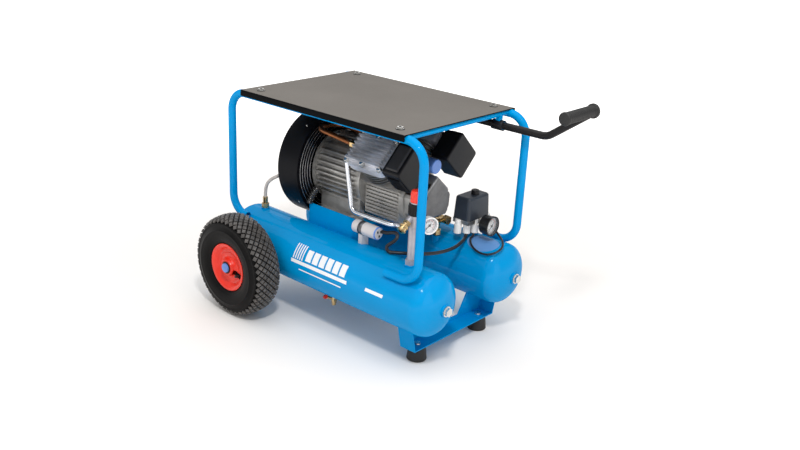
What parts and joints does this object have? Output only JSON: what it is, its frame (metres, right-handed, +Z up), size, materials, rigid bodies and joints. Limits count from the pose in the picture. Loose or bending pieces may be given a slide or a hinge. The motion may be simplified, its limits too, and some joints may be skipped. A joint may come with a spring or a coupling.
{
  "type": "wheelbarrow air compressor",
  "caption": "Wheeled air compressor with slim side-by-side tanks, a V-twin pump, an electric motor, a tube cage with a top plate and a crank handle.",
  "frame": {"origin": "middle of the bounding box at ground level, between the wheels and the feet", "axes": "+X forward from the wheels to the feet and the handle, +Y to the left, +Z up"},
  "size_m": [0.873, 0.6076, 0.6245],
  "materials": {
    "tank_paint": "gloss blue enamel",
    "bracket_paint": "gloss blue enamel",
    "plate_face": "satin grey-black sheet",
    "handle_black": "satin black powder coat",
    "zinc": "bright zinc",
    "dark_steel": "machined steel",
    "tyre_rubber": "moulded black rubber",
    "soft_rubber": "matt black rubber",
    "rim_red": "moulded red plastic",
    "cap_blue": "moulded pale blue plastic",
    "cast_aluminium": "as-cast aluminium",
    "pipe_aluminium": "drawn tube",
    "black_plastic": "moulded black plastic",
    "slate_plastic": "moulded slate plastic",
    "white_plastic": "moulded white plastic",
    "red_plastic": "moulded red plastic",
    "iron": "laminated and cast iron",
    "copper_pipe": "copper tube",
    "brass": "machined brass",
    "chrome_body": "nickel plated",
    "black_case": "black enamel",
    "needle_black": "black enamel",
    "can_grey": "drawn can",
    "hose_clear": "milky plastic hose"
  },
  "bodies": {
    "frame": {"left_tank": "tank_paint", "right_tank": "tank_paint", "tank_end_plugs": "zinc", "stub_axles": "bracket_paint", "hub_caps": "cap_blue", "wheel_bearings": "dark_steel", "foot_bracket": "bracket_paint", "rubber_feet": "soft_rubber", "machine_bolts": "zinc", "left_cage_loop": "bracket_paint", "right_cage_loop": "bracket_paint", "cage_crossbars": "bracket_paint", "top_plate": "plate_face", "motor_mount": "bracket_paint", "motor_housing": "cast_aluminium", "stator": "iron", "motor_bearings": "dark_steel", "fan_cowl": "black_plastic", "crankcase": "cast_aluminium", "crankcase_cover": "cast_aluminium", "cylinder_barrels": "iron", "cylinder_heads": "cast_aluminium", "pistons": "cast_aluminium", "air_filters": "black_plastic", "breather": "cap_blue", "cooling_pipe": "copper_pipe", "delivery_pipe": "pipe_aluminium", "pipe_fittings": "brass", "check_valve": "brass", "regulator_body": "chrome_body", "quick_coupler": "brass", "regulator_gauge": "black_case", "tank_gauge": "black_case", "pressure_switch_base": "cast_aluminium", "pressure_switch_cover": "slate_plastic", "cable_glands": "white_plastic", "drain_valves": "brass", "capacitor": "can_grey", "conduit": "soft_rubber", "motor_cable": "soft_rubber", "switch_lead": "soft_rubber", "balance_hose": "hose_clear"},
    "left_wheel": {"left_tyre": "tyre_rubber", "left_rim": "rim_red", "left_inner_tube": "soft_rubber"},
    "right_wheel": {"right_tyre": "tyre_rubber", "right_rim": "rim_red", "right_inner_tube": "soft_rubber"},
    "crank": {"rotor_shaft": "iron", "cooling_fan": "black_plastic"},
    "handle": {"handle_tube": "handle_black", "handle_grip": "soft_rubber"},
    "regulator_dial": {"regulator_knob": "red_plastic"},
    "start_button": {"switch_knob": "black_plastic"},
    "outlet_sleeve": {"coupler_sleeve": "brass"},
    "left_drain": {"left_drain_lever": "red_plastic"},
    "right_drain": {"right_drain_lever": "red_plastic"},
    "relief_ring": {"safety_valve_ring": "zinc"},
    "outlet_pointer": {"regulator_needle": "needle_black"},
    "tank_pointer": {"tank_needle": "needle_black"}
  },
  "joints": [
    {"name": "left_wheel_spin", "type": "hinge", "parent": "frame", "child": "left_wheel", "pos_m": [-0.3065, 0.2613, 0.13], "axis": [0, 1, 0], "continuous": true},
    {"name": "right_wheel_spin", "type": "hinge", "parent": "frame", "child": "right_wheel", "pos_m": [-0.3065, -0.2613, 0.13], "axis": [0, 1, 0], "continuous": true},
    {"name": "crank_spin", "type": "hinge", "parent": "frame", "child": "crank", "pos_m": [-0.1565, 0, 0.362], "axis": [1, 0, 0], "continuous": true},
    {"name": "handle_slide", "type": "slide", "parent": "frame", "child": "handle", "axis": [1, 0, 0], "range_m": [-0.085, 0]},
    {"name": "regulator_knob_turn", "type": "hinge", "parent": "frame", "child": "regulator_dial", "pos_m": [0.1595, -0.1325, 0.391], "axis": [0, 0, 1], "range_deg": [-360, 360]},
    {"name": "switch_knob_lift", "type": "slide", "parent": "frame", "child": "start_button", "axis": [0, 0, 1], "range_m": [0, 0.004]},
    {"name": "coupler_sleeve_slide", "type": "slide", "parent": "frame", "child": "outlet_sleeve", "axis": [0, -0.8211, -0.5708], "range_m": [-0.0025, 0], "stiffness_N_per_m": 400, "springref_m": 0.001},
    {"name": "left_drain_turn", "type": "hinge", "parent": "frame", "child": "left_drain", "pos_m": [-0.1165, 0.1325, 0.0663], "axis": [1, 0, 0], "range_deg": [0, 90]},
    {"name": "right_drain_turn", "type": "hinge", "parent": "frame", "child": "right_drain", "pos_m": [-0.1165, -0.1325, 0.0663], "axis": [1, 0, 0], "range_deg": [0, 90]},
    {"name": "safety_ring_pull", "type": "slide", "parent": "frame", "child": "relief_ring", "axis": [0, 1, 0], "range_m": [0, 0.003], "stiffness_N_per_m": 400, "springref_m": -0.001},
    {"name": "regulator_needle_turn", "type": "hinge", "parent": "frame", "child": "outlet_pointer", "pos_m": [0.187, -0.1265, 0.346], "axis": [0.9207, -0.3903, 0], "range_deg": [-270, 0], "stiffness_Nm_per_rad": 0.001},
    {"name": "tank_needle_turn", "type": "hinge", "parent": "frame", "child": "tank_pointer", "pos_m": [0.1835, 0.125, 0.276], "axis": [1, 0, 0], "range_deg": [-270, 0], "stiffness_Nm_per_rad": 0.001}
  ]
}
